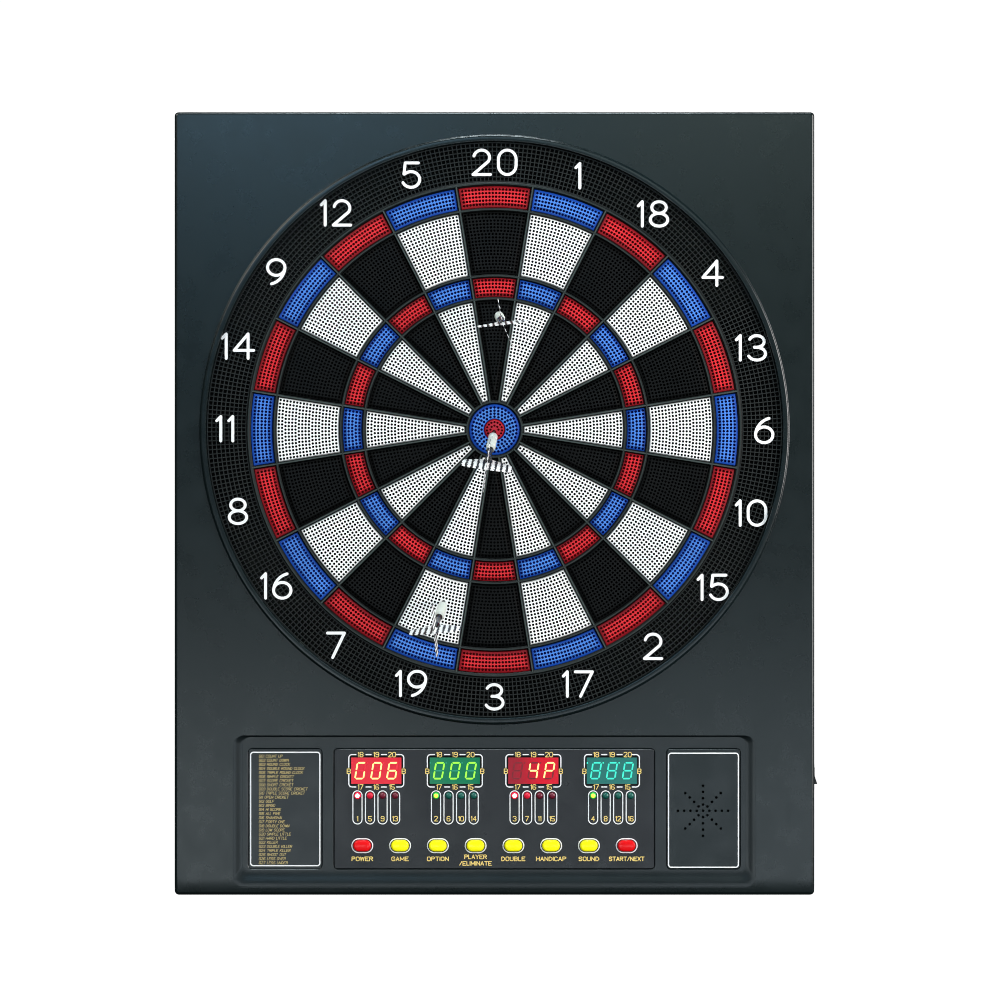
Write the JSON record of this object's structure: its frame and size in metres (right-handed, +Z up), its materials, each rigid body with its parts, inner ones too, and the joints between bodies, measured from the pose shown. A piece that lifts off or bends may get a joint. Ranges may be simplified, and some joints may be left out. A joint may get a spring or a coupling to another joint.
{
  "type": "electronic dartboard",
  "caption": "Wall-hung electronic soft-tip dartboard: framed target of pressing score segments over a panel of lit displays and push buttons, with a side power switch and darts in it.",
  "frame": {"origin": "axis of the bullseye where it meets the wall, on the flat back of the board", "axes": "+Y out of the back into the wall, so the target faces -Y; +Z up the wall; +X to the right as a player sees it"},
  "size_m": [0.5134, 0.1644, 0.6242],
  "materials": {
    "housing_plastic": "fine moulded texture, dark slate",
    "back_plastic": "textured, near black",
    "ring_plastic": "black, moulded grid",
    "spider_plastic": "satin grey-green",
    "segment_black": "satin black, perforated; red doubles and triples",
    "segment_white": "satin white, perforated; blue doubles and triples",
    "bull_blue": "satin, perforated",
    "bull_red": "satin, perforated",
    "mat_rubber": "matt",
    "membrane_film": "satin film with printed tracks",
    "board_fibre": "bare fibreboard",
    "circuit_board": "satin solder mask",
    "display_window": "tinted lens over lit digits",
    "button_red": "satin",
    "button_yellow": "satin",
    "fascia_plastic": "satin with gold and white print",
    "card_print": "satin with gold print",
    "speaker_cone": "matt cone, black frame",
    "lamp_lens": "clear tinted lens",
    "switch_plastic": "satin black",
    "dart_tip": "nylon, satin",
    "dart_barrel": "nickel plate, knurled",
    "dart_flight": "film, black and white stripes"
  },
  "bodies": {
    "board": {"front_housing": "housing_plastic", "back_cover": "back_plastic", "catch_ring": "ring_plastic", "spider": "spider_plastic", "rubber_mat": "mat_rubber", "membrane_sheet": "membrane_film", "backing_board": "board_fibre", "control_fascia": "fascia_plastic", "games_card": "card_print", "speaker_grille": "fascia_plastic", "speaker": "speaker_cone", "main_pcb": "circuit_board", "display_1": "display_window", "display_2": "display_window", "display_3": "display_window", "display_4": "display_window", "indicator_lamps": "lamp_lens", "rocker_frame": "switch_plastic", "dc_jack": "switch_plastic"},
    "number_20": {"key_20": "segment_black"},
    "number_1": {"key_1": "segment_white"},
    "number_18": {"key_18": "segment_black"},
    "number_4": {"key_4": "segment_white"},
    "number_13": {"key_13": "segment_black"},
    "number_6": {"key_6": "segment_white"},
    "number_10": {"key_10": "segment_black"},
    "number_15": {"key_15": "segment_white"},
    "number_2": {"key_2": "segment_black"},
    "number_17": {"key_17": "segment_white"},
    "number_3": {"key_3": "segment_black"},
    "number_19": {"key_19": "segment_white"},
    "number_7": {"key_7": "segment_black"},
    "number_16": {"key_16": "segment_white"},
    "number_8": {"key_8": "segment_black"},
    "number_11": {"key_11": "segment_white"},
    "number_14": {"key_14": "segment_black"},
    "number_9": {"key_9": "segment_white"},
    "number_12": {"key_12": "segment_black"},
    "number_5": {"key_5": "segment_white"},
    "bull_outer": {"outer_bull": "bull_blue"},
    "bull_inner": {"inner_bull": "bull_red"},
    "push_1": {"button_1": "button_red"},
    "push_2": {"button_2": "button_yellow"},
    "push_3": {"button_3": "button_yellow"},
    "push_4": {"button_4": "button_yellow"},
    "push_5": {"button_5": "button_yellow"},
    "push_6": {"button_6": "button_yellow"},
    "push_7": {"button_7": "button_yellow"},
    "push_8": {"button_8": "button_red"},
    "paddle": {"rocker_paddle": "switch_plastic"},
    "dart_1": {"dart_1_tip": "dart_tip", "dart_1_barrel": "dart_barrel", "dart_1_flight": "dart_flight"},
    "dart_2": {"dart_2_tip": "dart_tip", "dart_2_barrel": "dart_barrel", "dart_2_flight": "dart_flight"},
    "dart_3": {"dart_3_tip": "dart_tip", "dart_3_barrel": "dart_barrel", "dart_3_flight": "dart_flight"}
  },
  "joints": [
    {"name": "press_20", "type": "slide", "parent": "board", "child": "number_20", "axis": [0, 1, 0], "range_m": [0, 0.001], "stiffness_N_per_m": 800},
    {"name": "press_1", "type": "slide", "parent": "board", "child": "number_1", "axis": [0, 1, 0], "range_m": [0, 0.001], "stiffness_N_per_m": 800},
    {"name": "press_18", "type": "slide", "parent": "board", "child": "number_18", "axis": [0, 1, 0], "range_m": [0, 0.001], "stiffness_N_per_m": 800},
    {"name": "press_4", "type": "slide", "parent": "board", "child": "number_4", "axis": [0, 1, 0], "range_m": [0, 0.001], "stiffness_N_per_m": 800},
    {"name": "press_13", "type": "slide", "parent": "board", "child": "number_13", "axis": [0, 1, 0], "range_m": [0, 0.001], "stiffness_N_per_m": 800},
    {"name": "press_6", "type": "slide", "parent": "board", "child": "number_6", "axis": [0, 1, 0], "range_m": [0, 0.001], "stiffness_N_per_m": 800},
    {"name": "press_10", "type": "slide", "parent": "board", "child": "number_10", "axis": [0, 1, 0], "range_m": [0, 0.001], "stiffness_N_per_m": 800},
    {"name": "press_15", "type": "slide", "parent": "board", "child": "number_15", "axis": [0, 1, 0], "range_m": [0, 0.001], "stiffness_N_per_m": 800},
    {"name": "press_2", "type": "slide", "parent": "board", "child": "number_2", "axis": [0, 1, 0], "range_m": [0, 0.001], "stiffness_N_per_m": 800},
    {"name": "press_17", "type": "slide", "parent": "board", "child": "number_17", "axis": [0, 1, 0], "range_m": [0, 0.001], "stiffness_N_per_m": 800},
    {"name": "press_3", "type": "slide", "parent": "board", "child": "number_3", "axis": [0, 1, 0], "range_m": [0, 0.001], "stiffness_N_per_m": 800},
    {"name": "press_19", "type": "slide", "parent": "board", "child": "number_19", "axis": [0, 1, 0], "range_m": [0, 0.001], "stiffness_N_per_m": 800},
    {"name": "press_7", "type": "slide", "parent": "board", "child": "number_7", "axis": [0, 1, 0], "range_m": [0, 0.001], "stiffness_N_per_m": 800},
    {"name": "press_16", "type": "slide", "parent": "board", "child": "number_16", "axis": [0, 1, 0], "range_m": [0, 0.001], "stiffness_N_per_m": 800},
    {"name": "press_8", "type": "slide", "parent": "board", "child": "number_8", "axis": [0, 1, 0], "range_m": [0, 0.001], "stiffness_N_per_m": 800},
    {"name": "press_11", "type": "slide", "parent": "board", "child": "number_11", "axis": [0, 1, 0], "range_m": [0, 0.001], "stiffness_N_per_m": 800},
    {"name": "press_14", "type": "slide", "parent": "board", "child": "number_14", "axis": [0, 1, 0], "range_m": [0, 0.001], "stiffness_N_per_m": 800},
    {"name": "press_9", "type": "slide", "parent": "board", "child": "number_9", "axis": [0, 1, 0], "range_m": [0, 0.001], "stiffness_N_per_m": 800},
    {"name": "press_12", "type": "slide", "parent": "board", "child": "number_12", "axis": [0, 1, 0], "range_m": [0, 0.001], "stiffness_N_per_m": 800},
    {"name": "press_5", "type": "slide", "parent": "board", "child": "number_5", "axis": [0, 1, 0], "range_m": [0, 0.001], "stiffness_N_per_m": 800},
    {"name": "press_bull_outer", "type": "slide", "parent": "board", "child": "bull_outer", "axis": [0, 1, 0], "range_m": [0, 0.001], "stiffness_N_per_m": 800},
    {"name": "press_bull_inner", "type": "slide", "parent": "board", "child": "bull_inner", "axis": [0, 1, 0], "range_m": [0, 0.001], "stiffness_N_per_m": 800},
    {"name": "press_button_1", "type": "slide", "parent": "board", "child": "push_1", "axis": [0, 1, 0], "range_m": [0, 0.0015], "stiffness_N_per_m": 500},
    {"name": "press_button_2", "type": "slide", "parent": "board", "child": "push_2", "axis": [0, 1, 0], "range_m": [0, 0.0015], "stiffness_N_per_m": 500},
    {"name": "press_button_3", "type": "slide", "parent": "board", "child": "push_3", "axis": [0, 1, 0], "range_m": [0, 0.0015], "stiffness_N_per_m": 500},
    {"name": "press_button_4", "type": "slide", "parent": "board", "child": "push_4", "axis": [0, 1, 0], "range_m": [0, 0.0015], "stiffness_N_per_m": 500},
    {"name": "press_button_5", "type": "slide", "parent": "board", "child": "push_5", "axis": [0, 1, 0], "range_m": [0, 0.0015], "stiffness_N_per_m": 500},
    {"name": "press_button_6", "type": "slide", "parent": "board", "child": "push_6", "axis": [0, 1, 0], "range_m": [0, 0.0015], "stiffness_N_per_m": 500},
    {"name": "press_button_7", "type": "slide", "parent": "board", "child": "push_7", "axis": [0, 1, 0], "range_m": [0, 0.0015], "stiffness_N_per_m": 500},
    {"name": "press_button_8", "type": "slide", "parent": "board", "child": "push_8", "axis": [0, 1, 0], "range_m": [0, 0.0015], "stiffness_N_per_m": 500},
    {"name": "power_rocker", "type": "hinge", "parent": "board", "child": "paddle", "pos_m": [0.2538, -0.015, -0.2773], "axis": [0, 1, 0], "range_deg": [0, 18]},
    {"name": "pull_dart_1", "type": "slide", "parent": "number_20", "child": "dart_1", "axis": [0.026, -0.9922, -0.1219], "range_m": [0, 0.03]},
    {"name": "pull_dart_2", "type": "slide", "parent": "bull_inner", "child": "dart_2", "axis": [-0.0424, -0.9714, -0.2334], "range_m": [0, 0.03]},
    {"name": "pull_dart_3", "type": "slide", "parent": "number_19", "child": "dart_3", "axis": [-0.0346, -0.9897, -0.1392], "range_m": [0, 0.03]}
  ]
}
